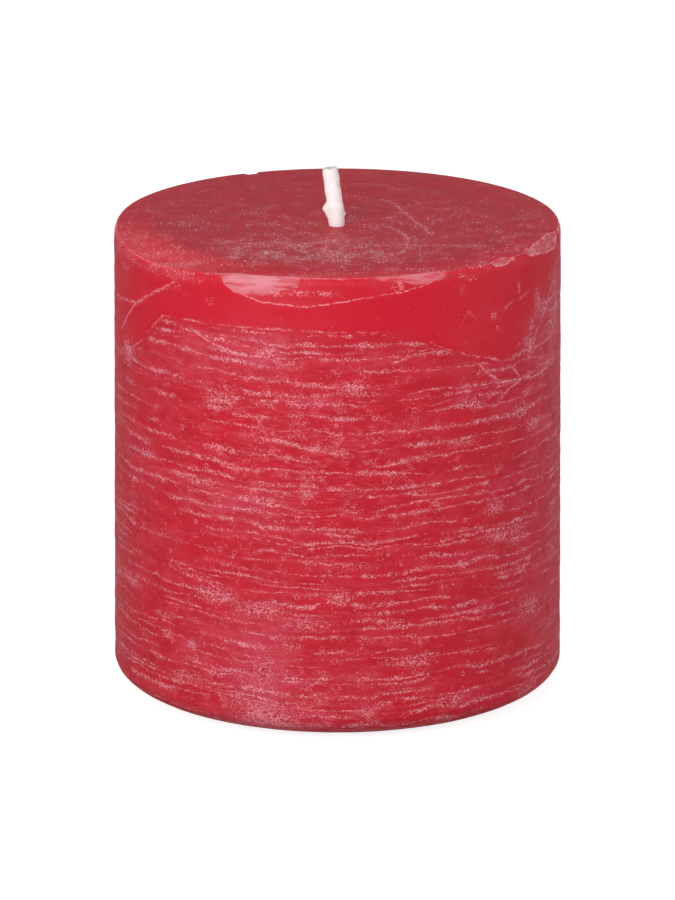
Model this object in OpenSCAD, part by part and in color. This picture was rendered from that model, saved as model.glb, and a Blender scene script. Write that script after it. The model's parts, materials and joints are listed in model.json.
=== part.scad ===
// Rustic pillar candle, poured in one colour of wax.
// Millimetres, +Z up, origin at the centre of the base, -Y is the front.

/* [Wax pillar] */
// Diameter of the pillar
pillar_d = 100; // [60:1:120]
// Height of the wax, without the wick
pillar_h = 105.5; // [60:0.5:200]
// Radius of the rounded top rim
rim_r = 1.2; // [0.4:0.1:3]
// Radius of the rounded edge round the base
base_edge_r = 8; // [1:0.5:10]

/* [Wick] */
// Diameter of the braided, wax-primed wick
wick_d = 3.5; // [2:0.1:5]
// Length of wick that stands out of the wax
wick_free_l = 13; // [8:0.5:25]
// Lean of the free end from upright, towards -X
wick_lean = 8; // [0:1:30]
// Distance of the wick from the pillar's axis, towards +X
wick_x = -0.2; // [-3:0.1:3]
// Distance of the wick from the pillar's axis, towards -Y
wick_front = 3.3; // [-4:0.1:4]

/* [Second pour] */
// Diameter of the shrinkage well at the base
well_d = 44; // [30:1:50]
// Diameter of the well at its top
well_top_d = 12; // [10:1:20]
// Depth of the well
well_depth = 24; // [14:1:40]

/* [Wick sustainer] */
// Diameter of the sustainer's plate
plate_d = 20; // [16:0.5:26]
// Thickness of the tinplate
plate_t = 0.35; // [0.2:0.05:0.5]
// Height of the neck above the plate
neck_h = 9; // [5:0.5:12]
// Height of the plate above the surface that the candle stands on
plate_lift = 0.6; // [0.3:0.1:1.5]

/* [Hidden] */
$fn = 128;

wax_red = [0.80, 0.10, 0.16];
pour_red = [0.72, 0.12, 0.18];
cotton = [0.96, 0.93, 0.88];
tinplate = [0.72, 0.72, 0.70];

wick_r = wick_d / 2;
// Room between the wick and the hole that the wick pin leaves
wick_room = 0.05;
// Room under the ball that the free end bends on
bend_room = 0.3;
bend_z = pillar_h + bend_room + wick_r;
neck_r = wick_r + wick_room + plate_t;
neck_base_z = plate_lift + plate_t;
neck_top_z = neck_base_z + neck_h;
// Radius of the bend between the plate and the neck
neck_root_r = 1;
// Grooves that crimp the neck on to the wick, as shares of the neck's height
crimps = [0.45, 0.75];
crimp_depth = 0.15;
crimp_h = 1;
// Room between the sustainer and the wax poured round it
pour_room = 0.05;
// Makes cuts run past the faces that they open
past = 1;

// Puts what follows on the wick's line.
module at_wick(z = 0) {
    translate([wick_x, -wick_front, z]) children();
}

// Half section of the pillar, with its rim and base edge rounded.
module pillar_section() {
    intersection() {
        union() {
            translate([0, base_edge_r]) square([pillar_d / 2, pillar_h - base_edge_r - rim_r]);
            square([pillar_d / 2 - base_edge_r, pillar_h]);
            translate([0, pillar_h - rim_r - past]) square([pillar_d / 2 - rim_r, rim_r + past]);
            translate([pillar_d / 2 - base_edge_r, base_edge_r]) circle(base_edge_r);
            translate([pillar_d / 2 - rim_r, pillar_h - rim_r]) circle(rim_r);
        }
        square([pillar_d, pillar_h]);
    }
}

// The cone-shaped well that the cooling wax sinks into round the wick.
module well() {
    at_wick() cylinder(d1 = well_d, d2 = well_top_d, h = well_depth);
}

module wick_hole() {
    at_wick(-past) cylinder(r = wick_r + wick_room, h = pillar_h + 2 * past);
}

// The main pour: the whole pillar, less the well and the wick's hole.
module wax_body() {
    color(wax_red) difference() {
        rotate_extrude() pillar_section();
        well();
        wick_hole();
    }
}

// Solid that the sustainer fills, grown by pour_room, and open below its plate.
module sustainer_space() {
    at_wick() {
        translate([0, 0, -past])
            cylinder(d = plate_d + 2 * pour_room, h = past + neck_base_z + pour_room);
        translate([0, 0, neck_base_z])
            cylinder(r1 = neck_r + neck_root_r + pour_room, r2 = neck_r + pour_room, h = neck_root_r);
        cylinder(r = neck_r + pour_room, h = neck_top_z + pour_room);
    }
}

// The second pour, which fills the well round the sustainer and levels the base.
module base_pour() {
    color(pour_red) difference() {
        well();
        sustainer_space();
        wick_hole();
    }
}

// The wick inside the wax, from the sustainer's underside to the top face.
module wick() {
    color(cotton) at_wick(plate_lift) cylinder(r = wick_r, h = pillar_h - plate_lift);
}

// The wick above the wax. Its lower end is a ball, so that it bends in place.
module wick_free_end() {
    color(cotton) at_wick(bend_z) rotate([0, -wick_lean, 0]) {
        sphere(r = wick_r);
        cylinder(r = wick_r, h = wick_free_l - wick_r - bend_room);
    }
}

// Half section of the stamped sustainer: a plate, a bend and a crimped neck.
module sustainer_section() {
    inner = wick_r + wick_room;
    difference() {
        union() {
            translate([inner, plate_lift]) square([plate_d / 2 - inner, plate_t]);
            translate([inner, plate_lift]) square([plate_t, plate_t + neck_h]);
            polygon([
                [neck_r, neck_base_z],
                [neck_r + neck_root_r, neck_base_z],
                [neck_r, neck_base_z + neck_root_r]
            ]);
        }
        for (share = crimps)
            translate([neck_r - crimp_depth, neck_base_z + share * neck_h])
                square([plate_t, crimp_h]);
    }
}

module wick_sustainer() {
    color(tinplate) at_wick() rotate_extrude() sustainer_section();
}

wax_body();
base_pour();
wick();
wick_free_end();
wick_sustainer();
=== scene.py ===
"""A red rustic pillar candle: the looks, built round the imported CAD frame.

Lengths are in millimetres until a mesh is made. Angles round the candle are in degrees from the front
(-Y), growing towards +X.
"""
import json
import math

import bpy
import numpy as np
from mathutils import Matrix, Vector, noise


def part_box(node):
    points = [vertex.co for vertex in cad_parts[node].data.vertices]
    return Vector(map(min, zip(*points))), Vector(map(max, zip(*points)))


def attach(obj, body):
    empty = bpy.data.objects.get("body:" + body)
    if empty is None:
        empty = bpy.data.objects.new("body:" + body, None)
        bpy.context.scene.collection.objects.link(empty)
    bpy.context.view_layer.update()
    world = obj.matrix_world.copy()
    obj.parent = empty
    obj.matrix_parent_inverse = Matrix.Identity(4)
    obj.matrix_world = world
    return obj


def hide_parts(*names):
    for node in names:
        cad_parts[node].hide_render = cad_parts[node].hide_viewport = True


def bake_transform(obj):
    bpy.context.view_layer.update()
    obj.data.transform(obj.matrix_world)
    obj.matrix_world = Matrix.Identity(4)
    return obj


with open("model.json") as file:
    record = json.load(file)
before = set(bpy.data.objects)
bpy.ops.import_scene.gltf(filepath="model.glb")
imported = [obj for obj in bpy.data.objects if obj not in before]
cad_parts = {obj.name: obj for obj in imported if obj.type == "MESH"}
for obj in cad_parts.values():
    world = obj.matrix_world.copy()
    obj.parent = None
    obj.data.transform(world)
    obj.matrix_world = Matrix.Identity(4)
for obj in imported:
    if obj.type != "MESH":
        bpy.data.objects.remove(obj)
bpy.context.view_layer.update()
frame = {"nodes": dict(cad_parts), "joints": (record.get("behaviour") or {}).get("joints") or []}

MM = 0.001
SEED = 20


def size_mm(node):
    low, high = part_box(node)
    return np.array(low) / MM, np.array(high) / MM


wax_low, wax_high = size_mm("wax_body")
BASE_R = (wax_high[0] - wax_low[0]) / 2
WAX_H = wax_high[2]
wick_low, wick_high = size_mm("wick")
WICK_X, WICK_Y = ((wick_low + wick_high) / 2)[:2]
WICK_R = (wick_high[0] - wick_low[0]) / 2
PIVOT = np.array(frame["joints"][0]["pos_m"]) / MM
END_HIGH = size_mm("wick_free_end")[1]
POUR_LOW, POUR_HIGH = size_mm("base_pour")
PLATE_LOW, PLATE_HIGH = size_mm("wick_sustainer")

# -------- node helper

class Nodes:
    """A node tree, with a short call for each kind of node used here."""

    def __init__(self, tree):
        self.tree = tree

    def feed(self, socket, value):
        if isinstance(value, bpy.types.NodeSocket):
            self.tree.links.new(value, socket)
        else:
            socket.default_value = value

    def node(self, kind, *values, **settings):
        node = self.tree.nodes.new("ShaderNode" + kind)
        for key, value in settings.items():
            setattr(node, key, value)
        for socket, value in zip(node.inputs, values):
            self.feed(socket, value)
        return node

    def math(self, operation, *values, clamp=False):
        return self.node("Math", *values, operation=operation, use_clamp=clamp).outputs[0]

    def chain(self, operation, values, clamp=False):
        total = values[0]
        for value in values[1:]:
            total = self.math(operation, total, value, clamp=clamp)
        return total

    def mul(self, *values):
        return self.chain("MULTIPLY", values)

    def add(self, *values, clamp=False):
        return self.chain("ADD", values, clamp)

    def most(self, *values):
        return self.chain("MAXIMUM", values)

    def minus(self, a, b):
        return self.math("SUBTRACT", a, b)

    def divide(self, a, b, clamp=False):
        return self.math("DIVIDE", a, b, clamp=clamp)

    def size(self, value):
        return self.math("ABSOLUTE", value)

    def ramp(self, value, start, end, low=0, high=1):
        """low before start, high after end, smooth between them; start may be above end."""
        if not isinstance(start, bpy.types.NodeSocket) and start > end:
            start, end, low, high = end, start, high, low
        return self.node("MapRange", value, start, end, low, high,
                         interpolation_type="SMOOTHSTEP").outputs[0]

    def place(self):
        """Object coordinates in millimetres."""
        return self.scaled(self.node("TexCoord").outputs["Object"], (1 / MM,) * 3)

    def vector(self, *parts):
        return self.node("CombineXYZ", *parts).outputs[0]

    def scaled(self, vector, factors):
        return self.node("VectorMath", vector, factors, operation="MULTIPLY").outputs[0]

    def named(self, kind, **values):
        """A node with values for the sockets of these names."""
        node = self.node(kind)
        for name, value in values.items():
            self.feed(node.inputs[name], value)
        return node

    def noise(self, vector, grain, detail=2, roughness=0.5, distortion=0):
        """Fractal noise from 0 to 1, about 0.5 on average, with features grain mm across."""
        return self.named("TexNoise", Vector=vector, Scale=1 / grain, Detail=detail,
                          Roughness=roughness, Distortion=distortion).outputs["Fac"]

    def cells(self, vector, grain):
        """How far the nearest point of a random scatter is, as a share of grain, and its random value."""
        node = self.named("TexVoronoi", Vector=vector, Scale=1 / grain)
        pick = self.node("SeparateColor", node.outputs["Color"]).outputs[0]
        return node.outputs["Distance"], pick

    def field(self, name):
        return self.node("Attribute", attribute_name=name).outputs["Fac"]

    def mix(self, factor, a, b):
        node = self.node("Mix", data_type="RGBA")
        self.feed(node.inputs["Factor"], factor)
        self.feed(node.inputs[6], a)
        self.feed(node.inputs[7], b)
        return node.outputs[2]

    def bump(self, height, depth):
        """Normals for a height map whose 1 stands depth mm proud."""
        return self.named("Bump", Distance=depth * MM, Height=height).outputs[0]


class Shader(Nodes):
    """A material with one Principled BSDF."""

    def __init__(self, name):
        self.material = bpy.data.materials.new(name)
        self.material.use_nodes = True
        super().__init__(self.material.node_tree)
        self.bsdf = self.tree.nodes["Principled BSDF"]

    def set(self, **values):
        """Feeds sockets, named in small letters with _ for a space."""
        for name, value in values.items():
            name = name.replace("_", " ")
            self.feed(next(s for s in self.bsdf.inputs if s.name.lower() == name), value)


def red(r, g, b):
    return (r, g, b, 1)


# -------- camera, light and floor

CAMERA_PITCH = 16
CAMERA_DISTANCE = 1634
CAMERA_LENS = 293.4
CAMERA_SENSOR = 36
CAMERA_SEES_M = 20
MIDDLE = Vector((0, 0, WAX_H / 2 * MM))

# Softboxes: name, azimuth, elevation, then distance, width and height in metres, and power in watts
SOFTBOXES = [
    ("key_left", -28, 20, 0.8, 0.45, 0.5, 3.9),
    ("fill_front", 22, 26, 0.9, 0.5, 0.4, 1),
    ("side_right", 84, 8, 0.8, 0.4, 0.6, 1.7),
    ("strip_left", -76, 8, 0.7, 0.14, 0.7, 0.25),
    ("strip_right", 50, 8, 0.75, 0.08, 0.7, 0.35),
    ("overhead", 170, 72, 0.75, 0.6, 0.6, 0.92),
    ("low_strip_behind", 180, 0, 0.8, 0.7, 0.09, 1.7),
]
SNOOT_CONE = 1
SNOOT_AWAY = Vector((-0.26, -0.966, 0)) * 0.8
SNOOT_POWER = 5.6

# The world's strength in front of the candle and behind it, and the Y where the change starts and ends
WORLD_DIM, WORLD_BRIGHT = 0.1, 0.36
WORLD_FROM, WORLD_TO = -0.5, 0.9

FLOOR_RADIUS_M = 4
FLOOR_DROP = 0.05
FLOOR_WHITE = (0.62, 0.62, 0.62, 1)
FLOOR_GLOW = 0.82
WHITE = (1, 1, 1, 1)


def add_camera():
    camera = bpy.data.objects.new("camera", bpy.data.cameras.new("camera"))
    camera.data.lens = CAMERA_LENS
    camera.data.sensor_width = CAMERA_SENSOR
    camera.data.clip_end = CAMERA_SEES_M
    pitch = math.radians(CAMERA_PITCH)
    back = Vector((0, -math.cos(pitch), math.sin(pitch)))
    camera.location = (Vector((0, 0, WAX_H / 2)) + back * CAMERA_DISTANCE) * MM
    camera.rotation_euler = (-back).to_track_quat("-Z", "Y").to_euler()
    bpy.context.scene.collection.objects.link(camera)
    bpy.context.scene.camera = camera


def hang_light(name, light, location, away):
    """Places a light that shines against the direction away."""
    lamp = bpy.data.objects.new(name, light)
    lamp.location = location
    lamp.rotation_euler = away.to_track_quat("Z", "Y").to_euler()
    bpy.context.scene.collection.objects.link(lamp)


def add_softbox(name, azimuth, elevation, distance, width, height, power):
    """An area light that faces the middle of the candle."""
    light = bpy.data.lights.new(name, "AREA")
    light.shape = "RECTANGLE"
    light.size, light.size_y = width, height
    light.energy = power
    a, e = math.radians(azimuth), math.radians(elevation)
    away = Vector((math.sin(a) * math.cos(e), -math.cos(a) * math.cos(e), math.sin(e)))
    hang_light(name, light, away * distance + MIDDLE, away)


def add_wick_light():
    """A narrow level beam that just clears the rim and lifts the wick."""
    light = bpy.data.lights.new("snoot", "SPOT")
    light.spot_size = math.radians(SNOOT_CONE)
    light.spot_blend = 0.4
    light.shadow_soft_size = 0.004
    light.energy = SNOOT_POWER
    target = Vector((PIVOT[0] - 1, PIVOT[1], (WAX_H + END_HIGH[2]) / 2 + 1)) * MM
    hang_light("snoot", light, target + SNOOT_AWAY, SNOOT_AWAY)


def add_world():
    """White behind the candle and dim in front of it; plain white where it is seen directly."""
    world = bpy.data.worlds.new("studio")
    bpy.context.scene.world = world
    world.use_nodes = True
    n = Nodes(world.node_tree)
    facing = n.node("SeparateXYZ", n.node("TexCoord").outputs["Generated"]).outputs["Y"]
    level = n.node("MapRange", facing, WORLD_FROM, WORLD_TO, WORLD_DIM, WORLD_BRIGHT).outputs[0]
    around = n.tree.nodes["Background"]
    n.feed(around.inputs["Color"], WHITE)
    n.feed(around.inputs["Strength"], level)
    seen = n.node("Background", WHITE, 1).outputs[0]
    ray = n.node("LightPath").outputs["Is Camera Ray"]
    choose = n.node("MixShader", ray, around.outputs[0], seen).outputs[0]
    n.feed(n.tree.nodes["World Output"].inputs[0], choose)


def add_floor():
    """A pale floor that reads as plain white, with only a trace of shadow."""
    bpy.ops.mesh.primitive_circle_add(vertices=96, radius=FLOOR_RADIUS_M, fill_type="NGON")
    floor = bpy.context.object
    floor.name = "floor"
    floor.location.z = -FLOOR_DROP * MM
    s = Shader("floor_white")
    seen = s.node("LightPath").outputs["Is Camera Ray"]
    s.set(base_color=FLOOR_WHITE, roughness=0.9, specular_ior_level=0)
    s.set(emission_color=WHITE, emission_strength=s.mul(seen, FLOOR_GLOW))
    floor.data.materials.append(s.material)


def add_studio():
    bpy.context.scene.view_settings.view_transform = "Standard"
    add_camera()
    add_world()
    for softbox in SOFTBOXES:
        add_softbox(*softbox)
    add_wick_light()
    add_floor()


# -------- the wax's shape

COLUMNS = 400
ROW = 0.66
TOP_NARROWER = 0.62  # how much smaller the radius is at the rim than low on the side
RIM_IN, RIM_DOWN = 0.77, 2.05
EDGE_IN, EDGE_UP = 13, 6.4
TOP_RINGS = 36
TOP_FIRST_R = 1.2
RIM_ROWS = 3  # the rim's rows that still belong to the top
BASE_RINGS = 8

BAND = 12  # no lap line starts in this last stretch under the top
WAVES = 5  # slow waves along each lap line
LAP_STEP = 2.6  # the spacing of the lap lines added below the first and above the last
LAPS_BELOW, LAPS_ABOVE = 3, 7
LAP_GAP_LEAST = 0.25


def smooth(value, start, end):
    t = np.clip((value - start) / (end - start), 0, 1)
    return t * t * (3 - 2 * t)


def bell(value, centre, width):
    return np.exp(-((value - centre) / width) ** 2)


def near_angle(angle, centre, width):
    return bell(turn(angle, centre), 0, width)


def turn(angle, centre):
    """The angle from centre, from -180 to 180 degrees."""
    return (angle - centre + 180) % 360 - 180


def along_side(angle, centre):
    """The distance round the side from centre, in mm."""
    return np.radians(turn(angle, centre)) * BASE_R


def knots(rng, angle, count, low, high):
    """A smooth random function round the candle, with count knots."""
    values = rng.uniform(low, high, count)
    at = (angle % 360) / 360 * count
    k = at.astype(int) % count
    t = at - np.floor(at)
    t = t * t * (3 - 2 * t)
    return values[k] * (1 - t) + values[(k + 1) % count] * t


def lap_line_heights(angle):
    """The lines where the wax froze in steps: one row of heights per line, lowest first."""
    rng = np.random.default_rng(SEED)
    a = np.radians(angle)
    low = 1.2
    levels = []
    while low < WAX_H - BAND + 0.6:
        levels.append(low)
        low += rng.choice([rng.uniform(1, 1.8), rng.uniform(2.2, 3.6)], p=[0.3, 0.7])
    top = levels[-1]
    rows = []
    phases = rng.uniform(0, 2 * math.pi, WAVES)
    for level in levels:
        phases = phases + rng.normal(0, 0.16, WAVES)
        drift = sum(0.75 / (n + 1) * np.sin((n + 1) * a + phases[n]) for n in range(WAVES))
        own = knots(rng, angle, 14, -0.8, 0.8) + knots(rng, angle, 45, -0.55, 0.55)
        fine = knots(rng, angle, 150, -0.2, 0.2)
        sag = 2.5 * near_angle(angle, 48, 10) * math.exp(-(top - level) / 9)
        rows.append(level + drift + own + fine - sag)
        if len(rows) > 1:
            rows[-1] = np.maximum(rows[-1], rows[-2] + 0.06)
    return np.array(rows)


# The lower border of the smooth band under the rim: angle and height
BAND_BORDER = [
    (-168, 94), (-130, 84), (-108, 88), (-88, 80), (-74, 79.6), (-62, 83.5), (-50, 92.4), (-27, 93.1),
    (-10, 93.5), (12, 92.8), (21, 90.8), (30, 87.2), (41, 84.3), (48, 82.3), (57, 87.8), (66, 93.5),
    (72, 98.5), (80, 99), (100, 96), (130, 88), (160, 93),
]


def band_border(angle):
    at, level = np.array(BAND_BORDER, float).T
    return np.interp(angle, at, level, period=360)


def lap_fields(angle, height):
    """At each point of a grid: the line's number as a rising phase, the gap between lines, and each
    line's strength and crumbliness."""
    rng = np.random.default_rng(SEED + 1)
    columns = angle[0]
    lines = lap_line_heights(columns)

    def broken(power, slow, fast):
        rows = [power * knots(rng, columns, *slow) * knots(rng, columns, *fast) for _ in lines]
        return np.pad(np.clip(rows, 0, 1), ((LAPS_BELOW, LAPS_ABOVE), (0, 0)))

    strength = broken(1.3, (26, -0.1, 1), (90, 0.2, 1.4))
    crumble = broken(1, (34, -0.25, 1.15), (100, 0.2, 1.5))
    below = lines[0] - LAP_STEP * np.arange(LAPS_BELOW, 0, -1)[:, None]
    above = lines[-1] + LAP_STEP * np.arange(1, LAPS_ABOVE + 1)[:, None]
    heights = np.vstack([below, lines, above])
    numbers = np.arange(len(heights), dtype=float)
    gaps = np.gradient(heights, axis=0)
    phase, gap, line, crumb = (np.zeros_like(height) for _ in range(4))
    for i in range(len(columns)):
        phase[:, i] = np.interp(height[:, i], heights[:, i], numbers)
        gap[:, i] = np.interp(phase[:, i], numbers, gaps[:, i])
        line[:, i] = np.interp(phase[:, i], numbers, strength[:, i])
        crumb[:, i] = np.interp(phase[:, i], numbers, crumble[:, i])
    under = smooth(band_border(angle) - height, 0.1, 0.9) * (1 - 0.85 * calm_field(angle, height))
    return phase, np.maximum(gap, LAP_GAP_LEAST), line * under, crumb * under


# Patches of dense crumbs on the side: angle, height, half-length, half-height in mm, strength
PATCHES = [
    (-18, 88, 2.6, 1.3, 1), (-13, 86, 3.5, 1, 0.7), (-31, 76, 3.5, 1.3, 0.9),
    (4, 81, 3, 1.2, 0.9), (7, 90, 2.2, 0.7, 1), (35, 75, 2.6, 1, 0.9),
    (33, 66.5, 4, 1.2, 0.6), (-36, 57, 5, 1, 0.7), (-32, 32, 5, 2, 0.9),
    (-20, 30, 6, 1.6, 0.7), (-8, 27.5, 6, 1.6, 0.6), (-68, 81, 3, 2.4, 0.9),
    (44, 50, 3, 1.8, 0.7), (52, 42, 4, 2.2, 0.6), (58, 24, 5, 3, 0.6),
    (-19, 16, 3, 4, 0.5), (-18, 5, 8, 4, 0.7), (20, 18, 4, 1.4, 0.7),
    (30, 8, 4, 1.6, 0.6), (-40, 12, 7, 1.5, 0.4), (67, 91, 3, 1.6, 0.8),
    (58, 84, 2, 2.6, 0.8), (72, 85, 2.5, 5, 0.6), (54, 70, 3, 1.8, 0.9),
    (60, 66, 3, 1.5, 0.9), (38, 74, 2, 0.8, 1), (-16, 101.6, 2.4, 0.8, 0.8),
    (-10, 101.8, 2.6, 0.7, 0.7), (-3, 101.9, 2.6, 0.7, 0.7), (15.5, 103.2, 1.2, 1.3, 1),
    (-70, 99.5, 4, 0.8, 0.5), (33, 100.5, 0.8, 1.6, 0.35), (-45, 100, 1.6, 1.2, 0.35),
    (-34, 98, 1.2, 1.2, 0.3), (52.8, 98, 0.5, 1.4, 0.9), (43.2, 93.2, 0.8, 0.7, 1),
    (33, 104, 1, 0.6, 0.8), (36, 103, 1.2, 0.5, 0.8), (44.6, 90.4, 0.6, 0.6, 0.7),
    (62, 93, 1.6, 3.4, 0.7), (75, 90, 3, 8, 0.7), (59, 88.5, 1.2, 2, 0.7),
]
MORE_PATCHES = 90


def patch_field(angle, height, rng):
    """Dense crumbs: the patches named above, and random ones all round under the band."""
    field = np.zeros_like(height)
    spots = list(PATCHES)
    for _ in range(MORE_PATCHES):
        at, level = rng.uniform(-180, 180), rng.uniform(3, WAX_H - BAND - 4)
        length, tall, power = rng.uniform(1.5, 5), rng.uniform(0.5, 1.3), rng.uniform(0.35, 0.9)
        if level < band_border(at) - 2:
            spots.append((at, level, length, tall, power))
    for centre, level, length, tall, power in spots:
        along = along_side(angle, centre)
        spot = power * np.exp(-(along / length) ** 2 - ((height - level) / tall) ** 2)
        field = np.maximum(field, spot)
    return field


# Stretches of the side with hardly a line: angle, height, half-length and half-height in mm
CALM = [
    (-52, 47, 9, 4.5), (-42, 40, 8, 3), (-57, 37.5, 9, 3.2), (-28, 43, 7, 2),
    (-56, 27, 7, 2.6), (-30, 24.5, 6, 2), (-47, 17, 6, 2), (12, 40.5, 7, 2),
    (44, 60, 5, 3), (38, 33, 7, 2.4), (30, 13, 6, 3), (48, 20.5, 6, 3),
    (14, 75.5, 8, 2.2), (-42, 67, 7, 2), (46, 10.5, 5, 3), (118, 60, 12, 5),
    (-128, 45, 14, 4), (170, 25, 12, 4), (-95, 66, 10, 4),
]


def soft_box(angle, height, centre, level, length, tall):
    """1 inside a rounded stretch of the side, and 0 well outside it."""
    along = along_side(angle, centre)
    return np.exp(-(along / length) ** 4 - ((height - level) / tall) ** 4)


def calm_field(angle, height):
    field = np.zeros_like(height)
    for stretch in CALM:
        field = np.maximum(field, soft_box(angle, height, *stretch))
    return field


# Cloudy patches of wax: angle, height, half-length and half-height in mm, strength
HAZES = [
    (-20, 14, 8.5, 16, 0.5), (-22, 88, 9, 6.5, 0.34), (-38, 85, 8, 6, 0.24), (-36, 54, 9, 5, 0.24),
    (-20, 53, 9, 6, 0.22), (-37, 22, 7, 7, 0.2), (-60, 54, 6, 8, 0.12), (62, 84, 7, 9, 0.3),
    (68, 45, 9, 45, 0.18), (2, 10, 9, 8, 0.14), (12, 88, 8, 5, 0.12), (34, 86, 5, 6, 0.1),
    (-55, 76, 8, 6, 0.1), (150, 60, 14, 20, 0.25), (-140, 30, 12, 18, 0.25), (115, 20, 12, 14, 0.2),
]


def haze_field(angle, height):
    field = np.zeros_like(height)
    for *stretch, power in HAZES:
        field += power * soft_box(angle, height, *stretch)
    return field


# The shaving under the front rim: its lower border's depth below the rim at each angle
SHAVE_ANGLES = [-31, -29, -24, -20, -14, -8, 2, 6, 12, 16, 23, 28]
SHAVE_DEPTHS = [0, 3.2, 5.2, 6.2, 6.6, 6.8, 5.6, 4.9, 4, 3.8, 2.4, 0]
SHAVE_STEP, SHAVE_CUT = 0.12, 0.45
# The pale part of the shaving, and a smaller one to its right: angle and reach down the side
CHIP = [(-30.8, 0), (-29.8, 2.8), (-27, 4.8), (-24, 5.8), (-20, 5.4), (-17, 4.4), (-14, 3.4),
        (-10, 3), (-9.4, 0)]
CHIP_2 = [(9, 0), (11, 1), (17, 1.5), (20, 2.4), (24, 2.2), (28, 1.4), (29.5, 0)]
# Flakes broken from the rim: angle, half-width in degrees, reach down the side, reach across the top
FLAKES = [(47.5, 4.6, 0.9, 1.1), (60, 3.2, 1.3, 1), (70, 9.5, 2.6, 1.5), (-156, 2, 0.8, 0.7)]
FLAKE_IN, FLAKE_DOWN = 0.45, 0.6
OUTSIDE_CHIP = -2


def shave_depth(angle):
    return np.interp(turn(angle, 0), SHAVE_ANGLES, SHAVE_DEPTHS, left=0, right=0)


def chip_field(angle, below):
    """How deep inside the shaving's pale parts each point is, in mm; negative outside them."""
    field = np.full_like(below, -WAX_H)
    for part in (CHIP, CHIP_2):
        at, reach = np.array(part, float).T
        border = np.interp(turn(angle, 0), at, reach, left=OUTSIDE_CHIP, right=OUTSIDE_CHIP)
        field = np.maximum(field, border - below)
    return field


def flake_field(angle, below, inward):
    """How deep inside a flake's break each point of the side or the top is, in mm; negative outside."""
    field = np.full_like(below, -WAX_H)
    for centre, half, down, into in FLAKES:
        across = np.abs(turn(angle, centre)) / half
        lens = np.where(across < 1, np.sqrt(np.clip(1 - across ** 2, 0, 1)), 1 - across)
        field = np.maximum(field, np.minimum(down * lens - below, into * lens - inward))
    return field


# Long marks on the top, each a list of x and y in mm: two sets run front to back, the last runs sideways
TOP_MARKS = [
    [[(20.6, -13.4), (19.2, -6), (17.1, 0), (14.6, 9), (11.7, 18.1), (8, 20.4)]],
    [[(11.7, -30.8), (14.3, -28), (15.1, -22.2), (15.5, -16.3), (14.1, -10.4), (11.9, -6),
      (9.7, -3)]],
    [[(-26.3, -20.7), (-23.5, -19.2), (-20.2, -16.3)], [(-18, -32.5), (-10, -32)],
     [(14, -21.2), (28, -22.4)]],
]
SIDEWAYS_SET = len(TOP_MARKS) - 1


def top_mark_fields(x, y):
    """For each set of marks: how far from its mark each point is, in mm, and 1 beside a mark."""
    fields = []
    for number, marks in enumerate(TOP_MARKS):
        sideways = number == SIDEWAYS_SET
        along, across = (x, y) if sideways else (y, x)
        offset, on = np.full_like(x, BASE_R), np.zeros_like(x)
        for mark in marks:
            px, py = np.array(mark, float).T
            at, level = (px, py) if sideways else (py, px)
            near = (along > at[0] - 2) & (along < at[-1] + 2)
            offset = np.where(near, across - np.interp(along, at, level), offset)
            starts = smooth(along, at[0] - 1, at[0] + 1)
            ends = smooth(-along, -at[-1] - 1, 1 - at[-1])
            on = np.maximum(on, near * starts * ends)
        fields.append((offset, on))
    return fields


# Turned marks on the top: the radius of each ring round the wick
TOP_ARCS = [4.2, 6.4, 8.2, 11.5, 13.4, 17, 19.6, 23, 25.2, 29, 31.6, 35.6, 38, 42.5]


def arc_fields(x, y, rng):
    """For each point of the top: the ring's number as a rising phase, the gap between rings, and the
    ring's strength there."""
    angle = np.degrees(np.arctan2(x - WICK_X, WICK_Y - y))
    out = np.hypot(x - WICK_X, y - WICK_Y)
    out = out + knots(rng, angle, 9, -0.9, 0.9) + knots(rng, angle, 25, -0.3, 0.3)
    numbers = np.arange(len(TOP_ARCS), dtype=float)
    phase = np.interp(out, TOP_ARCS, numbers)
    most_right = 0.3 + 0.7 * near_angle(angle, 105, 65)
    gap = np.interp(phase, numbers, np.gradient(np.array(TOP_ARCS)))
    on = np.zeros_like(x)
    for number in range(1, len(TOP_ARCS) - 1):
        strength = 1.4 * knots(rng, angle, 9, -0.9, 1) * knots(rng, angle, 40, 0, 1.3)
        on = np.where(np.round(phase) == number, np.clip(strength, 0, 1) * most_right, on)
    return phase, gap, on


# Scratches and cracks on the side: each is its strength, and a list of angle and height
SCARS = [
    (1, [(-80, 91), (-77, 91.3), (-63, 92.6), (-51, 98), (-46, 100.5)]),
    (1, [(-30, 61.5), (-26, 61.2), (-19, 61.4)]),
    (1, [(-8, 67), (-2, 66.2), (3, 66)]),
    (1, [(9, 63), (17, 63.4)]),
    (1, [(38, 83.4), (41, 80.7), (47, 77.7), (53, 77.4), (61, 76.5), (68, 77), (75, 79.5)]),
    (1, [(-74, 84.5), (-70, 87.5), (-63, 92.5)]),
    (1, [(-40, 91), (-33, 88.6), (-25, 87)]),
    (1, [(14, 86), (20, 87.4)]),
    (1, [(-3, 48), (4, 47.4)]),
    (1, [(49, 81.5), (52, 79), (54, 77.5)]),
    (1, [(58, 83), (66, 90), (75, 97.5)]),
    (0.35, [(-47, 56), (-42, 52.6), (-36, 51.2), (-29, 49.5)]),
    (1, [(45, 74), (49, 76), (54, 77.2)]),
    (0.3, [(32.8, 92.4), (33.6, 94.4), (34.8, 95.3), (36.2, 94.9), (37.3, 93)]),
    (0.6, [(46.4, 94), (50.6, 95.6)]),
    (0.6, [(53.6, 95.3), (57.2, 96.4)]),
]
SCAR_TRACKS = 5
SCAR_END = 2


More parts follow.
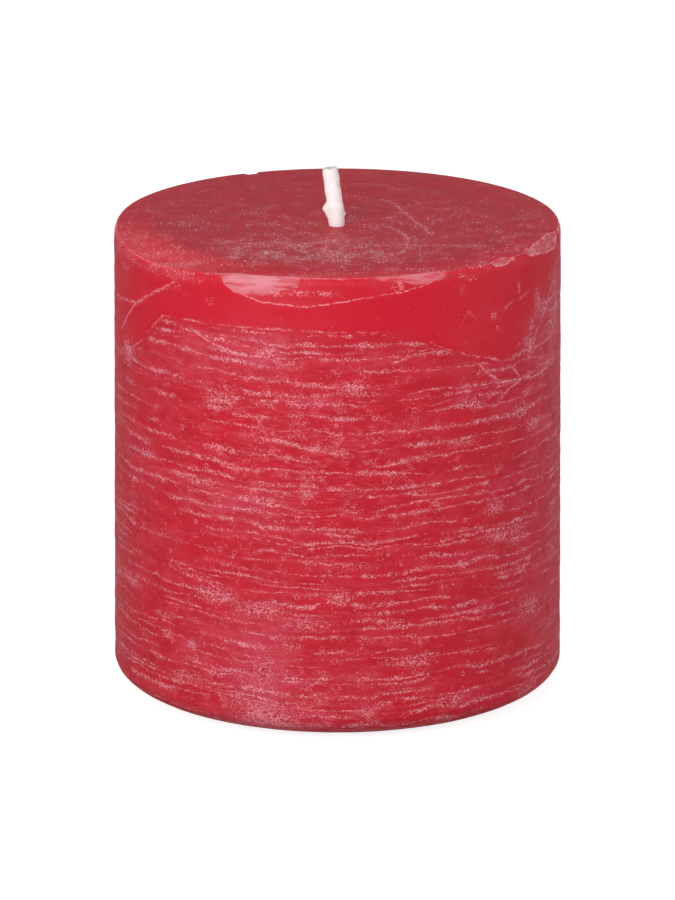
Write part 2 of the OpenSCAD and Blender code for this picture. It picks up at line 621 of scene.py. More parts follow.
def scar_fields(angle, height):
    """Scars that don't meet share a track. For each track: how far above its scar each point is, and the
    scar's strength at that angle."""
    turned = turn(angle, 0)
    offsets = [np.full_like(height, WAX_H) for _ in range(SCAR_TRACKS)]
    masks = [np.zeros_like(height) for _ in range(SCAR_TRACKS)]
    ends = [[] for _ in range(SCAR_TRACKS)]
    for strength, scar in SCARS:
        at, level = np.array(scar, float).T
        first, last = at[0] - SCAR_END, at[-1] + SCAR_END
        free = (k for k in range(SCAR_TRACKS) if all(last < a or first > b for a, b in ends[k]))
        track = next(free)
        ends[track].append((first, last))
        near = (turned > first) & (turned < last)
        offsets[track] = np.where(near, height - np.interp(turned, at, level), offsets[track])
        on = smooth(turned, first + 1, at[0] + 1) * smooth(-turned, 1 - last, 1 - at[-1])
        masks[track] = np.maximum(masks[track], strength * on * near)
    return list(zip(offsets, masks))


def side_profile():
    """The pillar's outline from the rim's inner edge down to the base: radius and height of each row."""
    top_r = BASE_R - TOP_NARROWER
    rim = [(top_r - RIM_IN * (1 - math.sin(t)), WAX_H - RIM_DOWN * (1 - math.cos(t)))
           for t in np.linspace(0, math.pi / 2, 7)]
    straight = np.linspace(WAX_H - RIM_DOWN, EDGE_UP, round((WAX_H - RIM_DOWN - EDGE_UP) / ROW) + 1)
    side = [(BASE_R - TOP_NARROWER * (z - EDGE_UP) / (WAX_H - EDGE_UP), z) for z in straight[1:-1]]
    edge = [(BASE_R - EDGE_IN * (1 - math.cos(t)), EDGE_UP * (1 - math.sin(t)))
            for t in np.linspace(0, math.pi / 2, 15)]
    return np.array(rim + side + edge)


def grids(profile, columns):
    """Grids of angle, radius, height, x and y: an outline of radius and height turned round its axis."""
    angle = np.tile(np.arange(columns) * 360 / columns, (len(profile), 1))
    angle = (angle + 180) % 360 - 180
    radius = np.tile(profile[:, :1], (1, columns))
    height = np.tile(profile[:, 1:], (1, columns))
    a = np.radians(angle)
    return angle, radius, height, radius * np.sin(a), -radius * np.cos(a)


def new_piece(name, points, faces):
    """A smooth-shaded object from points in mm."""
    mesh = bpy.data.meshes.new(name)
    mesh.from_pydata((points * MM).tolist(), [], faces)
    mesh.polygons.foreach_set("use_smooth", [True] * len(mesh.polygons))
    mesh.update()
    piece = bpy.data.objects.new(name, mesh)
    bpy.context.scene.collection.objects.link(piece)
    return piece


def revolve(name, radius, height, first_pole, last_pole):
    """A mesh from grids of radius and height, one row per ring, closed to a point at both ends."""
    rows, columns = radius.shape
    a = np.radians(np.arange(columns) * 360 / columns)
    ring = np.stack([radius * np.sin(a), -radius * np.cos(a), height], axis=-1)
    points = np.vstack([ring.reshape(-1, 3), first_pole, last_pole])
    k = np.arange(rows * columns).reshape(rows, columns)
    right = np.roll(k, -1, axis=1)
    faces = np.stack([k[:-1], k[1:], right[1:], right[:-1]], axis=-1).reshape(-1, 4).tolist()
    last = len(points) - 1
    for i in range(columns):
        faces.append([last - 1, k[0, i], right[0, i]])
    for i in range(columns):
        faces.append([last, right[-1, i], k[-1, i]])
    return new_piece(name, points, faces)


def set_field(piece, name, grid, rest=0):
    """Stores a value per vertex; the vertices after the grid's get rest."""
    values = np.full(len(piece.data.vertices), rest, np.float32)
    values[:grid.size] = grid.ravel()
    piece.data.attributes.new(name, "FLOAT", "POINT").data.foreach_set("value", values)


def noise_grid(x, y, z, grain, seed):
    """Smooth noise from about -1 to 1 at each grid point, with features grain mm across."""
    points = np.stack([x / grain + seed, y / grain - seed, z / grain + 2 * seed], axis=-1)
    return np.array([noise.noise(p) for p in points.reshape(-1, 3).tolist()]).reshape(x.shape)


# Depths and widths of the relief
SWELL, SWELL_FINE = 0.1, 0.05
GROOVE_DEEP, GROOVE_HALF = 0.1, 0.45
PITS = 46
# How far inside the CAD's box the side and the top stay
SIDE_MARGIN, TOP_MARGIN = 0.07, 0.1
RIM_ZONE = 4
# The rim's worn stretch: where it is, how far round it reaches, how low it goes and how far in
WORN_ANGLE, WORN_REACH = -58, 28
WORN_RIM, WORN_WIDTH = 2.2, 10


class WaxGrid:
    """The pillar's points before its relief: rows from the top's middle outwards, down the side and in
    to the well of the second pour."""

    def __init__(self):
        side = side_profile()
        self.rim_r, rim_z = side[0]
        top_r = np.linspace(TOP_FIRST_R, self.rim_r, TOP_RINGS + 1)[:-1]
        top = np.stack([top_r, np.full_like(top_r, rim_z)], axis=-1)
        well_r = (POUR_HIGH[0] - POUR_LOW[0]) / 2
        base_r = np.linspace(side[-1][0], well_r, BASE_RINGS + 1)[1:]
        base = np.stack([base_r, np.zeros_like(base_r)], axis=-1)
        profile = np.vstack([top, side, base])
        self.angle, self.radius, self.height, self.x, self.y = grids(profile, COLUMNS)
        self.below = WAX_H - self.height
        self.inward = np.maximum(self.rim_r - self.radius, 0)

        row = np.arange(len(profile))[:, None]
        side_ends = len(top) + len(side)
        self.on_top = np.where(row < len(top) + RIM_ROWS, 1, 0)
        self.on_side = np.where((row >= len(top) + RIM_ROWS) & (row < side_ends), 1, 0)
        self.off_top = row >= len(top)
        self.rim_row = np.where(row == len(top) + 1, 1, 0)


def pit_field(angle, height, rng):
    """Small round holes that bubbles left: their depth at each point, in mm."""
    pits = np.zeros_like(height)
    for _ in range(PITS):
        at, level = rng.uniform(-180, 180), rng.uniform(4, WAX_H - 20)
        size, deep = rng.uniform(0.55, 0.95), rng.uniform(0.3, 0.6)
        along = along_side(angle, at)
        hole = deep * np.exp(-((along / size) ** 2 + ((height - level) / size) ** 2))
        pits = np.maximum(pits, hole)
    return pits


def side_relief(g, phase, gap, line, shave, broken, rng):
    """How far each point is pushed outwards, in mm: swells, lap grooves and pits, less the shaving and
    the rim's flakes."""
    swell = (SWELL * noise_grid(g.x, g.y, g.height * 2.2, 9, 3.1)
             + SWELL_FINE * noise_grid(g.x, g.y, g.height * 2, 3, 8.4))
    away = np.abs(phase - np.round(phase)) * gap
    groove = -GROOVE_DEEP * line * np.exp(-(away / GROOVE_HALF) ** 2)
    pits = pit_field(g.angle, g.height, rng)
    inside = smooth(shave - g.below, 0, 0.5) * (shave > 0.05)
    deepest_at_rim = np.clip(1 - g.below / np.maximum(shave, 0.1), 0, 1)
    cut = inside * (SHAVE_STEP + SHAVE_CUT * deepest_at_rim)
    return g.on_side * (swell + groove - pits) - cut - FLAKE_IN * broken


def top_lift(g):
    """How far each point of the top face is raised, in mm: turned rings, a dish round the wick, wrinkles
    in front of it and slow waves."""
    from_wick = np.hypot(g.x - WICK_X, g.y - WICK_Y)
    rings = 0.05 * np.sin(g.radius * 2.1 + 1.5 * noise_grid(g.x, g.y, g.height, 14, 1.7))
    dish = -0.12 * np.exp(-(from_wick / 20) ** 2)
    wrinkle = 0.13 * noise_grid(g.x, g.y, g.height, 2.4, 5.2) * bell(g.x, 4, 14) * bell(g.y, -25, 12)
    flat = 0.09 * noise_grid(g.x, g.y, g.height, 6, 9.9)
    inner = smooth(g.rim_r - g.radius, 0.2, 5)
    return (rings + dish + wrinkle + flat) * inner * g.on_top - TOP_MARGIN


def build_wax():
    g = WaxGrid()
    phase, gap, line, crumb = lap_fields(g.angle, g.height)
    rng = np.random.default_rng(SEED + 2)
    patch = patch_field(g.angle, g.height, rng)
    shave = shave_depth(g.angle)
    flake = flake_field(g.angle, g.below, g.inward)
    broken = smooth(flake, 0, 0.5)
    relief = side_relief(g, phase, gap, line, shave, broken, rng)

    push = np.clip(np.maximum(g.on_side, smooth(g.radius, g.rim_r - 0.6, g.rim_r)), 0, 1)
    margin = SIDE_MARGIN * smooth(g.radius, g.rim_r - RIM_ZONE, g.rim_r)
    radius = g.radius + push * (relief - margin)
    worn_at = near_angle(g.angle, WORN_ANGLE, WORN_REACH)
    worn = WORN_RIM * worn_at + 0.5 * near_angle(g.angle, 10, 60)
    lift = top_lift(g) - FLAKE_DOWN * broken * smooth(radius, g.rim_r - RIM_ZONE, g.rim_r)
    drop = np.where(g.on_top > 0, lift, -TOP_MARGIN)
    drop = drop - worn * smooth(radius, g.rim_r - WORN_WIDTH, g.rim_r)
    height = g.height + np.minimum(drop, 0) * smooth(g.below, 6, 0)
    piece = revolve("wax_pillar", radius, height, (0, 0, float(height[0].mean())), (0, 0, POUR_HIGH[2]))

    # Painted light: how much brighter red to paint on the top along the front of the rim and on its worn
    # stretch, where more key light falls.
    front_rim_painted_light = 0.55 * near_angle(g.angle, 0, 65) * smooth(radius, g.rim_r - 8, g.rim_r - 0.5)
    rim_painted_light = np.maximum(worn_at * smooth(radius, g.rim_r - 11, g.rim_r - 3), front_rim_painted_light)
    level = WAX_H - g.below
    fields = [
        ("lap_phase", phase), ("lap_gap", gap), ("line", line * g.on_side), ("crumb", crumb * g.on_side),
        ("patch", patch * g.on_side), ("top", np.broadcast_to(g.on_top, height.shape)),
        ("below", g.below, WAX_H), ("border", level - band_border(g.angle), -WAX_H),
        ("chip", np.where(g.off_top, chip_field(g.angle, g.below), -1)), ("flake", flake),
        # Painted light: of the next line's fields, the first is a brighter red on the rim and the second
        # a thin painted highlight along its edge.
        ("worn", rim_painted_light * g.on_top), ("rim_line", g.rim_row * knots(rng, g.angle, 40, 0.1, 1)),
        ("shave_edge", shave - g.below, -WAX_H), ("shave_on", smooth(shave, 0, 1.2) * g.off_top),
        ("haze", haze_field(g.angle, height) * g.off_top), ("fine", fine_field(g.angle, height)),
        ("grain", grain_field(g.angle, g.below, g.inward)),
    ]
    for number, (offset, on) in enumerate(top_mark_fields(g.x, g.y)):
        fields += [("mark_%d" % number, offset, BASE_R), ("mark_on_%d" % number, on * g.on_top)]
    arc_phase, arc_gap, arc_on = arc_fields(g.x, g.y, np.random.default_rng(SEED + 3))
    fields += [("arc_phase", arc_phase), ("arc_gap", arc_gap, 1), ("arc_on", arc_on * g.on_top)]
    for track, (offset, on) in enumerate(scar_fields(g.angle, level)):
        fields += [("scar_%d" % track, offset, WAX_H), ("scar_on_%d" % track, on * g.on_side)]
    for field in fields:
        set_field(piece, *field)
    return piece


def grain_field(angle, below, inward):
    """Frost along the worn rim: heavy at the left, light elsewhere."""
    down = below + 0.5 * inward
    left = smooth(angle, -88, -76) * smooth(-angle, 30, 42) * bell(down, 1.2, 2.6)
    rest = 0.22 * bell(down, 0.8, 1.6)
    return np.maximum(left, rest)


def fine_field(angle, height):
    """Fine streaks between the lap lines: strong in the middle of the front and low at its left."""
    middle = near_angle(angle, -6, 24) * bell(height, 66, 17)
    low = 0.8 * near_angle(angle, -12, 32) * bell(height, 6, 12)
    back = 0.8 * near_angle(angle, 150, 40) * bell(height, 50, 22)
    return np.clip(np.maximum(np.maximum(middle, low), back) + 0.15, 0, 1)


# -------- the wax's material

DEEP_RED = red(0.56, 0.0095, 0.026)
BRIGHT_RED = red(0.66, 0.01, 0.03)
HAZE_PINK = red(0.64, 0.08, 0.12)
# Pale pink for frost, and also for the painted glints on the top.
FROST_AND_GLINT_PINK = red(0.95, 0.47, 0.54)
# A near-black red for painted shade in pits, in fine furrows and beside frost.
SHADE_RED = red(0.2, 0.004, 0.01)
# A darker red for the top face's painted shade.
TOP_SHADE_RED = red(0.45, 0.007, 0.017)
# A brighter red for painted light along the front of the rim and on its worn stretch.
RIM_LIGHT_RED = red(0.9, 0.012, 0.034)
WAX_IOR = 1.43
GLOW_RADIUS = (1, 0.22, 0.16)


def ridges(s, field, zone, reach, soft=0.018):
    """1 along the lines where a noise field crosses its mean: short curls, wider where zone is near 1."""
    off = s.size(s.minus(field, 0.5))
    return s.divide(s.minus(s.mul(zone, reach), off), soft, clamp=True)


def worms(s, place, grain, zone, reach):
    """Short curly crumbs, thicker where zone is near 1 and gone where it is 0."""
    return ridges(s, s.noise(place, grain, 1.5, 0.55), zone, reach)


def off_number(s, value, gap):
    """How far value is from halfway between whole numbers, in mm when they are gap apart."""
    return s.mul(s.size(s.minus(s.math("FRACT", value), 0.5)), gap)


def nearest_line(s, shake):
    """Distance in mm to the nearest lap line, drawn with a shaky hand, and the number of the layer."""
    phase, gap = s.field("lap_phase"), s.field("lap_gap")
    shaken = s.add(phase, s.divide(s.mul(shake, 1.5), gap))
    return off_number(s, s.add(shaken, 0.5), gap), s.math("FLOOR", shaken)


def lap_frost_and_shade(s, place, away, spark):
    """Frost on the lap lines: a thin broken line, and curls and flakes crowded round it; and painted
    shade, dark specks where the curls crowd.
    """
    line, crumb, patch = s.field("line"), s.field("crumb"), s.field("patch")
    breaks = s.ramp(s.noise(s.scaled(place, (1, 1, 2.2)), 1.3, 3, 0.7), 0.42, 0.56)
    thin = s.mul(s.ramp(away, 0.3, 0.04), s.ramp(line, 0.18, 0.62), breaks, spark)
    near = s.mul(s.ramp(away, 0.95, 0.05), s.ramp(crumb, 0.05, 0.85))
    clump = s.ramp(s.noise(s.scaled(place, (1, 1, 1.8)), 2.6, 2), 0.38, 0.6)
    zone = s.most(s.mul(near, s.add(0.25, s.mul(clump, 0.75))), patch)
    field = s.noise(s.scaled(place, (1, 1, 1.25)), 0.85, 2.5, 0.62)
    curls = s.mul(ridges(s, field, zone, 0.085, 0.014), spark)
    flake_at, flake_pick = s.cells(s.scaled(place, (1, 1, 1.5)), 1.3)
    ragged = s.add(flake_at, s.mul(s.minus(field, 0.5), 2))
    flakes = s.mul(s.ramp(ragged, 0.42, 0.3), s.ramp(flake_pick, 0.74, 0.8), s.ramp(zone, 0.35, 0.6))
    # Painted shade: dark specks where the curls crowd.
    shade = s.mul(s.ramp(field, 0.57, 0.64), s.ramp(zone, 0.15, 0.6))
    return s.most(s.mul(thin, 0.75), s.mul(curls, 0.74), s.mul(flakes, 0.4)), shade


def fine_frost_and_shade(s, place, spark):
    """Marks between the lap lines: faint level streaks, loose crumbs, specks, and bubbles with a pit; and
    painted shade in the pits and in fine furrows beside the streaks.
    """
    fine, below = s.field("fine"), s.field("below")
    low = s.ramp(s.field("border"), -0.5, -3)
    streak_field = s.noise(s.scaled(place, (0.15, 0.15, 1)), 0.42, 3, 0.65, distortion=0.3)
    streak = s.mul(s.ramp(streak_field, 0.52, 0.66), fine, low)
    # Painted shade in fine furrows beside the streaks.
    furrow = s.mul(s.ramp(streak_field, 0.46, 0.34), fine, low)
    loose_zone = s.mul(s.ramp(s.noise(s.scaled(place, (0.7, 0.7, 1.5)), 2.4, 2), 0.44, 0.66),
                       s.ramp(low, 0, 1, 0.15, 1))
    loose = s.mul(worms(s, place, 0.62, s.mul(loose_zone, s.ramp(fine, 0, 1, 0.35, 1)), 0.055), spark)
    speck_at, speck_pick = s.cells(place, 1.1)
    specks = s.mul(s.ramp(speck_at, 0.2, 0.09), s.ramp(speck_pick, 0.78, 0.81),
                   s.ramp(low, 0, 1, 0.35, 1))
    ring_at, ring_pick = s.cells(place, 2.8)
    is_ring = s.mul(s.ramp(ring_pick, 0.78, 0.81), s.ramp(below, 12, 30))
    ring = s.mul(s.ramp(s.size(s.minus(ring_at, 0.17)), 0.07, 0.02), is_ring)
    # Painted shade: the pit in the middle of some bubbles.
    pit = s.mul(s.ramp(ring_at, 0.13, 0.07), is_ring, s.ramp(ring_pick, 0.93, 0.95))
    frost = s.most(s.mul(streak, 0.1), s.mul(loose, 0.5), s.mul(specks, 0.36), s.mul(ring, 0.4, spark))
    return frost, furrow, pit


def scar_frost(s, place, shake, spark):
    """Long cracks and scratches with crumbs along them, and the border of the smooth band."""
    reach = s.mul(s.noise(place, 3, 2), 1.6)
    from_band = s.size(s.add(s.field("border"), s.mul(shake, 2)))
    total = s.mul(s.ramp(from_band, 0.32, 0.05), 0.8, s.ramp(s.noise(place, 3, 3), 0.4, 0.56))
    for track in range(SCAR_TRACKS):
        away = s.size(s.add(s.field("scar_%d" % track), s.mul(shake, 2.2)))
        mark = s.add(s.ramp(away, 0.26, 0.05), s.mul(s.ramp(away, reach, 0.1), 0.3), clamp=True)
        total = s.most(s.mul(mark, s.field("scar_on_%d" % track)), total)
    gaps = s.ramp(s.noise(place, 0.9, 3), 0.38, 0.56, 0.2, 0.8)
    return s.mul(total, gaps, s.add(0.2, s.mul(spark, 0.8)))


def top_frost_and_glints(s, place, shake, spark):
    """The top face: turned arcs, long scratches, a crust in front of the wick, smudges and specks; the
    crust, the flecks and the specks also carry painted glints, stronger towards the front.
    """
    split = s.node("SeparateXYZ", place)
    px, py = split.outputs[0], split.outputs[1]
    out = s.math("SQRT", s.add(s.mul(px, px), s.mul(py, py)))
    around = s.vector(s.divide(px, s.add(out, 1)), s.divide(py, s.add(out, 1)), s.mul(out, 0.16))
    turned = s.noise(around, 0.55, 2, 0.5, distortion=0.2)
    broken = s.ramp(s.noise(place, 4, 3, 0.6), 0.48, 0.6)
    arcs = s.mul(ridges(s, turned, s.mul(broken, spark), 0.014, 0.008), 0.45)
    gap = s.field("arc_gap")
    ring = s.add(s.field("arc_phase"), s.divide(s.mul(shake, 1.8), gap), 0.5)
    off_ring = off_number(s, ring, gap)
    ring_gaps = s.ramp(s.noise(place, 2.2, 2), 0.4, 0.56)
    ring_frost = s.add(s.mul(s.ramp(off_ring, 0.36, 0.06), spark, 0.7),
                       s.ramp(off_ring, 1.3, 0.1, 0, 0.05))
    rings = s.mul(ring_frost, s.field("arc_on"), ring_gaps)

    total = s.most(arcs, rings)
    mark_gaps = s.ramp(s.noise(place, 1.5, 3), 0.4, 0.56, 0.15, 1)
    for number in range(len(TOP_MARKS)):
        away = s.size(s.add(s.field("mark_%d" % number), s.mul(shake, 2.6)))
        mark = s.add(s.mul(s.ramp(away, 0.46, 0.1), spark, 0.8), s.ramp(away, 2.2, 0.2, 0, 0.1))
        total = s.most(total, s.mul(mark, s.field("mark_on_%d" % number), mark_gaps))

    # Painted highlight: a faintly paler zone in front of the wick, where the crust's curls and the specks
    # are painted as glints.
    toward = s.ramp(s.size(s.add(px, 6)), 27, 8)
    forward = s.ramp(s.size(s.add(py, 27)), 15, 5)
    crust_glint_zone = s.mul(toward, forward, s.ramp(s.noise(place, 4, 3, 0.6), 0.38, 0.6))
    crust = s.mul(worms(s, s.scaled(place, (0.7, 0.45, 1)), 0.62, crust_glint_zone, 0.062), spark)
    smudge = s.ramp(s.noise(s.scaled(place, (1, 0.6, 1)), 1.9, 4, 0.62), 0.54, 0.7)
    # Towards the front the marks grow stronger: the flecks and specks there are painted glints.
    nearer = s.ramp(py, 30, -10, 0.4, 1)
    spread = s.mul(s.ramp(s.noise(place, 5, 3), 0.42, 0.66), nearer)
    fleck_glints = s.mul(worms(s, s.scaled(place, (1, 0.5, 1)), 0.8, spread, 0.06), spark)
    dot_at, dot_pick = s.cells(s.scaled(place, (1, 0.6, 1)), 1)
    glint_dots = s.mul(s.ramp(dot_at, 0.26, 0.12), s.ramp(s.add(dot_pick, s.mul(crust_glint_zone, 0.3)), 0.88, 0.92))
    return s.most(total, s.mul(crust, 1.15), s.mul(fleck_glints, 0.62), s.mul(glint_dots, nearer, 0.95),
                  s.mul(smudge, nearer, 0.08), s.mul(crust_glint_zone, 0.07))


def rim_frost_and_highlight(s, place, shake, spark):
    """The shaving's border, its pale rough parts and the knife's marks in them; the rim's flakes, a
    painted highlight along its edge, and its frost."""
    edge = s.size(s.add(s.field("shave_edge"), shake))
    broken = s.ramp(s.noise(place, 1, 3), 0.38, 0.56, 0.1, 1)
    border = s.mul(s.ramp(edge, 0.24, 0.05), broken, s.field("shave_on"), s.add(0.3, s.mul(spark, 0.7)))
    marks = s.noise(s.scaled(place, (0.1, 0.1, 1)), 0.72, 2, 0.6)
    depth = s.add(s.field("chip"), s.mul(shake, 1.2))
    hatch = s.ramp(marks, 0.44, 0.54, s.ramp(depth, 0, 5, 0.2, 0.72), 1)
    pale = s.mul(s.ramp(depth, -0.1, 0.5), hatch, s.ramp(depth, 0, 4, 0.55, 1))
    torn = s.minus(s.noise(s.scaled(place, (1, 1, 0.6)), 2.2, 3, 0.55), 0.5)
    flake = s.add(s.field("flake"), s.mul(torn, 2))
    cloud = s.noise(place, 1.6, 4, 0.6)
    broken_off = s.add(s.mul(s.ramp(flake, -0.05, 0.15), s.ramp(cloud, 0.4, 0.62, 0.14, 0.48)),
                       s.mul(s.ramp(s.size(flake), 0.24, 0.05), s.ramp(cloud, 0.36, 0.5, 0.25, 0.55)))
    rim_gaps = s.ramp(s.noise(place, 1.2, 4, 0.65), 0.38, 0.56, 0.2, 1)
    # Painted highlight: a thin broken pale line along the rim's edge.
    rim = s.mul(s.field("rim_line"), rim_gaps)
    zone = s.mul(s.field("grain"), s.ramp(s.noise(place, 3, 3), 0.3, 0.54, 0.3, 1))
    grain_at, grain_pick = s.cells(place, 0.55)
    picked = s.ramp(s.add(grain_pick, s.mul(zone, 0.75)), 0.85, 1)
    grain = s.mul(s.ramp(grain_at, 0.42, 0.14), picked, zone)
    return s.most(s.mul(border, 0.7), s.mul(pale, 0.6), broken_off, s.mul(rim, 0.75),
                  s.add(s.mul(grain, 0.66), s.mul(zone, 0.1)))


def wax_material():
    s = Shader("dyed_wax")
    place = s.place()
    top = s.field("top")
    shake = s.minus(s.noise(place, 2.4, 5, 0.74), 0.5)
    spark = s.ramp(s.noise(place, 0.4, 2, 0.75), 0.4, 0.6, 0.12, 1)
    away, layer = nearest_line(s, shake)

    laps, shade = lap_frost_and_shade(s, place, away, spark)
    marks, furrow, pit = fine_frost_and_shade(s, place, spark)
    side = s.mul(s.most(laps, marks, scar_frost(s, place, shake, spark)), s.minus(1, top))
    above = s.mul(top_frost_and_glints(s, place, shake, spark), top)
    white = s.most(s.add(side, above, clamp=True), rim_frost_and_highlight(s, place, shake, spark))

    # Red wax: clear in the band under the rim, cloudy by whole layers below it, and duller near the lines
    split = s.node("SeparateXYZ", place)
    by_layer = s.vector(s.mul(split.outputs[0], 0.05), s.mul(split.outputs[1], 0.05), s.mul(layer, 0.73))
    cloudy = s.ramp(s.noise(by_layer, 1, 2), 0.4, 0.62)
    soft = s.ramp(s.noise(s.scaled(place, (1, 1, 2)), 7, 3, 0.55), 0.36, 0.64)
    in_band = s.ramp(s.add(s.field("border"), s.mul(shake, 8)), -1.8, 1.2)
    wax = s.mix(s.most(s.mul(soft, 0.6), in_band), DEEP_RED, BRIGHT_RED)
    haze = s.add(s.mul(cloudy, soft, 0.24), s.mul(s.ramp(away, 1.2, 0.2), s.field("crumb"), 0.12),
                 s.mul(s.field("patch"), 0.15), 0.05)
    haze = s.mul(haze, s.ramp(in_band, 0, 1, 1, 0.35))
    haze = s.add(haze, s.mul(s.field("haze"), s.ramp(soft, 0, 1, 0.65, 1)))
    wax = s.mix(haze, wax, HAZE_PINK)
    mottle = s.noise(s.scaled(place, (1, 0.4, 1)), 5, 4, 0.6)
    # Painted light: the front of the rim and its worn stretch are painted a brighter red.
    worn = s.field("worn")
    # Painted shade: the top face is painted towards a darker, mottled red, less so where the rim carries
    # painted light.
    dim = s.mul(top, s.ramp(mottle, 0.38, 0.62, 0.08, 0.38), s.ramp(worn, 0, 1, 1, 0.1))
    wax = s.mix(s.mul(worn, 0.85), s.mix(dim, wax, TOP_SHADE_RED), RIM_LIGHT_RED)
    # Painted shade: a near-black red in the bubbles' pits, in the fine furrows and beside the lap lines'
    # crowded curls.
    painted_shade = s.most(s.mul(pit, 0.75), s.mul(shade, 0.5), s.mul(furrow, 0.22))
    white = s.mul(white, s.minus(1, s.mul(pit, 0.9)))
    s.set(base_color=s.mix(white, s.mix(painted_shade, wax, SHADE_RED), FROST_AND_GLINT_PINK))

    s.set(roughness=s.add(0.38, s.mul(white, 0.3), s.mul(s.noise(place, 2.5, 3), 0.1)))
    skin = s.noise(s.scaled(place, (1, 1, 1.6)), 1.4, 4, 0.6)
    s.set(normal=s.bump(skin, 0.06), specular_ior_level=0.22, ior=WAX_IOR)
    s.set(subsurface_weight=0.3, subsurface_radius=GLOW_RADIUS, subsurface_scale=3 * MM)
    return s.material


# -------- the base

POUR_COLUMNS = 128
POUR_TOP_SINK = 0.1
POUR_WALL_GAP = 0.05
SEAT_GAP = 0.05
SEAT_LIFT = 0.4
NECK_GAP = 0.5
NECK_TOP = 9
RIPPLE = 0.12


def build_base_pour():
    """The second pour: a plug that fills the well, with the sustainer's seat in its middle."""
    top_z = POUR_HIGH[2] - POUR_TOP_SINK
    outer_r = (POUR_HIGH[0] - POUR_LOW[0]) / 2 - POUR_WALL_GAP
    seat_r = (PLATE_HIGH[0] - PLATE_LOW[0]) / 2 + SEAT_GAP
    seat_z = PLATE_LOW[2] + SEAT_LIFT
    neck_r = WICK_R + NECK_GAP
    profile = np.array([
        (5.9, top_z), (14, 12.2), (outer_r - 0.4, 0.5), (outer_r, 0.08), (20.5, 0), (18, 0.12),
        (15, 0.34), (12.5, 0.45), (seat_r + 0.6, 0.35), (seat_r, 0.42), (seat_r, seat_z),
        (neck_r, seat_z), (neck_r, NECK_TOP)])
    _, radius, height, x, y = grids(profile, POUR_COLUMNS)
    ripple = RIPPLE * noise_grid(x, y, height, 4, 6.6)
    out, up = profile[:, :1], profile[:, 1:]
    free = (out < outer_r - 1) & (out > seat_r + 0.3) & (up < 1)
    height = height + np.where(free, np.abs(ripple), 0)
    piece = revolve("second_pour", radius, height, (0, 0, top_z), (0, 0, NECK_TOP))
    piece.location = Vector((WICK_X, WICK_Y, 0)) * MM
    return piece


def pour_material():
    s = Shader("second_pour_wax")
    place = s.place()
    cloud = s.ramp(s.noise(place, 7, 3), 0.35, 0.65)
    wax = s.mix(cloud, DEEP_RED, BRIGHT_RED)
    curls = worms(s, place, 1.4, s.ramp(s.noise(place, 5, 3), 0.45, 0.7), 0.09)
    s.set(base_color=s.mix(s.mul(curls, 0.5), wax, FROST_AND_GLINT_PINK))
    s.set(roughness=s.add(0.34, s.mul(s.noise(place, 3, 3), 0.14)))
    s.set(normal=s.bump(s.noise(place, 2.2, 4), 0.08))
    s.set(subsurface_weight=0.5, subsurface_radius=GLOW_RADIUS, subsurface_scale=3 * MM)
    return s.material


def tinplate_material():
    s = Shader("tinplate")
    place = s.place()
    spangle = s.noise(place, 1.2, 4, 0.6)
    s.set(base_color=s.mix(s.ramp(spangle, 0.35, 0.65), red(0.56, 0.56, 0.54), red(0.72, 0.72, 0.7)))
    s.set(metallic=1, roughness=s.ramp(s.noise(place, 3, 3), 0.3, 0.7, 0.28, 0.46))
    drawn = s.noise(s.scaled(place, (1, 0.1, 1)), 0.25, 2)
    s.set(normal=s.bump(drawn, 0.01))
    return s.material


# -------- the wick

WICK_COLUMNS = 56
WICK_ROW = 0.16
ROOT_DEPTH = 2
FREE_LEAN = math.radians(8)  # the free end leans to the left, as in the CAD
BEND_HALF = 1.2
# The cut end: how far its last rings sink, last ring first, and the rings inside it: share, dome
CUT_SINKS = [0.3, 0.22, 0.12]
CUT_RINGS = [(0.9, 0.06), (0.7, 0.1), (0.38, 0.05)]
CUT_ROUGH = 0.05
CUT_MIDDLE_SINK = 0.15
BOX_MARGIN = 0.02
BRAID_PITCH = 5.5
COTTON_GLOW = (1, 0.8, 0.65)


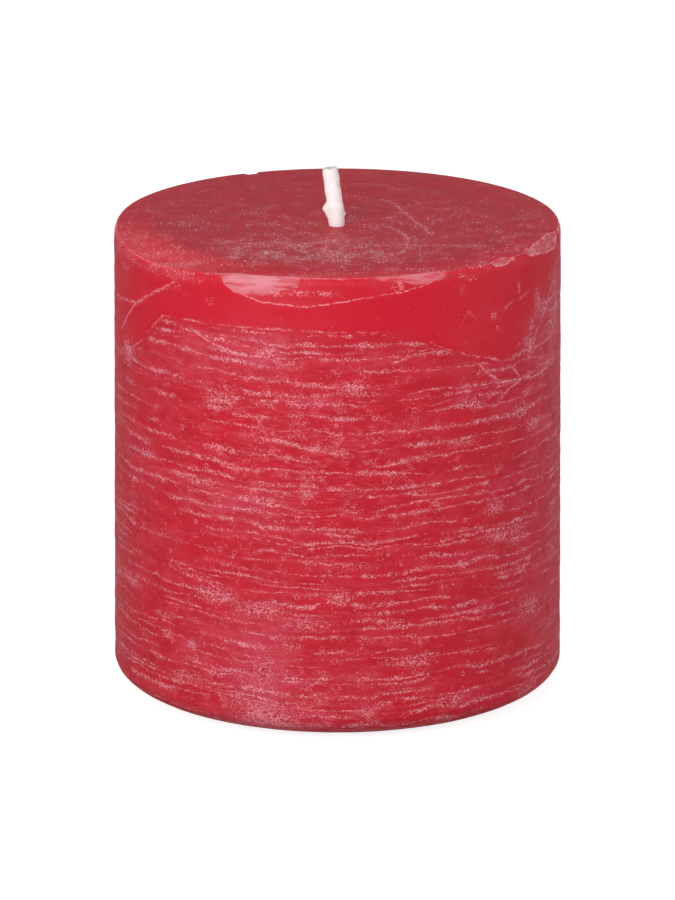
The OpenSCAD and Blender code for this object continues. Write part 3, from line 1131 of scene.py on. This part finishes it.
def build_wick():
    """The wick's free end: a braid under a skin of wax, cut square, with a torn flake low on its left."""
    rng = np.random.default_rng(SEED + 5)
    pivot_to_tip = (END_HIGH[2] - PIVOT[2] - WICK_R * math.sin(FREE_LEAN)) / math.cos(FREE_LEAN)
    root = np.array([WICK_X, WICK_Y, WAX_H - ROOT_DEPTH])
    rise = PIVOT[2] - root[2]
    total = rise + pivot_to_tip
    steps = np.arange(0, total + WICK_ROW / 2, WICK_ROW)
    steps[-1] = total
    around = np.arange(WICK_COLUMNS) * 2 * math.pi / WICK_COLUMNS
    axis = np.array([-math.sin(FREE_LEAN), 0, math.cos(FREE_LEAN)])
    side = np.array([math.cos(FREE_LEAN), 0, math.sin(FREE_LEAN)])
    front = np.array([0, -1, 0])
    rings = []
    for up in steps:
        bent = smooth(np.array(up), rise - BEND_HALF, rise + BEND_HALF)
        straight = root + np.array([0, 0, 1]) * up
        leaned = PIVOT + axis * (up - rise)
        centre = straight * (1 - bent) + leaned * bent
        across = np.array([1, 0, 0]) * (1 - bent) + side * bent
        r = wick_radius(around, up - ROOT_DEPTH, total - ROOT_DEPTH)
        rings.append([centre + across * r[i] * math.sin(around[i]) + front * r[i] * math.cos(around[i])
                      for i in range(WICK_COLUMNS)])
    rings = np.array(rings)
    cut = rng.normal(0, CUT_ROUGH, WICK_COLUMNS)[:, None] * axis
    rings[-1] += cut - axis * CUT_SINKS[0]
    rings[-2] -= axis * CUT_SINKS[1]
    rings[-3] -= axis * CUT_SINKS[2]
    middle = PIVOT + axis * (pivot_to_tip - CUT_MIDDLE_SINK)
    inner = [middle + (rings[-1] - middle) * share
             + axis * (dome + rng.normal(0, CUT_ROUGH, WICK_COLUMNS)[:, None])
             for share, dome in CUT_RINGS]
    inner = np.minimum(np.array(inner), END_HIGH - BOX_MARGIN)
    rings[-1] = np.minimum(rings[-1], END_HIGH - BOX_MARGIN)

    points = np.vstack([rings, inner]).reshape(-1, 3)
    k = np.arange(len(points)).reshape(-1, WICK_COLUMNS)
    right = np.roll(k, -1, axis=1)
    faces = np.stack([k[:-1], right[:-1], right[1:], k[1:]], axis=-1).reshape(-1, 4).tolist()
    points = np.vstack([points, root, middle])
    for i in range(WICK_COLUMNS):
        faces.append([len(points) - 2, right[0, i], k[0, i]])
        faces.append([len(points) - 1, k[-1, i], right[-1, i]])
    return new_piece("wick_end", points, faces)


def wick_radius(around, up, length):
    """The wick's radius at each angle around it (0 is the front, pi/2 the right), up mm above the wax."""
    turns = 2 * math.pi * up / BRAID_PITCH
    strand = np.maximum(np.abs(np.sin(4 * around + 2 * turns)), np.abs(np.sin(4 * around - 2 * turns)))
    r = WICK_R * (1 + 0.055 * (strand - 0.7))
    r = r + 0.06 * np.sin(up * 1.9 + np.sin(around)) + 0.04 * np.sin(3 * around + up * 0.8)
    left = np.exp(-((around - 1.5 * math.pi) / 0.42) ** 2)
    flake = np.interp(up, [0.2, 1.2, 2.6, 4, 5.2, 5.5], [0, 0.15, 0.75, 1.25, 0.15, 0])
    right = np.exp(-((around - 0.55 * math.pi) / 0.3) ** 2)
    lump = 0.35 * math.exp(-((up - 2.2) / 0.35) ** 2)
    r = r + left * flake + right * lump
    return np.where(up > length - 0.3, r - 0.1, r)


def wick_material():
    s = Shader("waxed_cotton")
    place = s.place()
    fibre = s.noise(s.scaled(place, (3, 3, 1)), 0.5, 4, 0.65)
    tone = s.noise(place, 2, 3)
    cotton = s.mix(s.ramp(tone, 0.35, 0.65), red(0.97, 0.925, 0.9), red(1, 0.97, 0.95))
    s.set(base_color=s.mix(s.ramp(fibre, 0.62, 0.75, 0, 0.3), cotton, red(0.85, 0.74, 0.7)))
    s.set(roughness=s.ramp(fibre, 0.3, 0.7, 0.42, 0.6))
    s.set(normal=s.bump(fibre, 0.05))
    s.set(subsurface_weight=0.4, subsurface_radius=COTTON_GLOW, subsurface_scale=1.2 * MM)
    return s.material


# -------- assembly

def dress(piece, material):
    piece.data.materials.clear()
    piece.data.materials.append(material)


def build_candle():
    wax = build_wax()
    dress(wax, wax_material())
    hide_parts("wax_body")
    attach(wax, "candle")

    pour = build_base_pour()
    dress(pour, pour_material())
    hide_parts("base_pour")
    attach(pour, "candle")

    cotton = wick_material()
    dress(frame["nodes"]["wick"], cotton)
    dress(frame["nodes"]["wick_sustainer"], tinplate_material())

    wick = build_wick()
    dress(wick, cotton)
    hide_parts("wick_free_end")
    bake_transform(wick)


add_studio()
build_candle()
